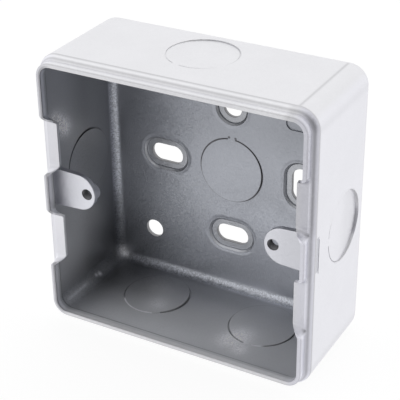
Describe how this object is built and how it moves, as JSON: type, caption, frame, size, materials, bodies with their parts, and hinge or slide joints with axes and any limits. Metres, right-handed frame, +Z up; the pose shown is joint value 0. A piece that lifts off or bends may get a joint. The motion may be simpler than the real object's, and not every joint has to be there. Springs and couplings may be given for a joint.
{
  "type": "surface mount back box",
  "caption": "Square open-fronted steel back box with stepped rim, knock-outs, slotted back and inward screw lugs, for fixing a wiring accessory to a wall.",
  "frame": {"origin": "centre of the box on the wall plane, where the four pressed screw seats of the back touch the wall", "axes": "+Y into the wall, so the opening faces -Y; +Z up; +X to the right seen from the front"},
  "size_m": [0.0862, 0.04, 0.086],
  "materials": {
    "shell_coat": "silver metallic powder coat with a satin sheen",
    "lug_coat": "silver metallic powder coat with a satin sheen"
  },
  "bodies": {
    "root": {"box_shell": "shell_coat", "lug_left": "lug_coat", "lug_right": "lug_coat"}
  },
  "joints": []
}
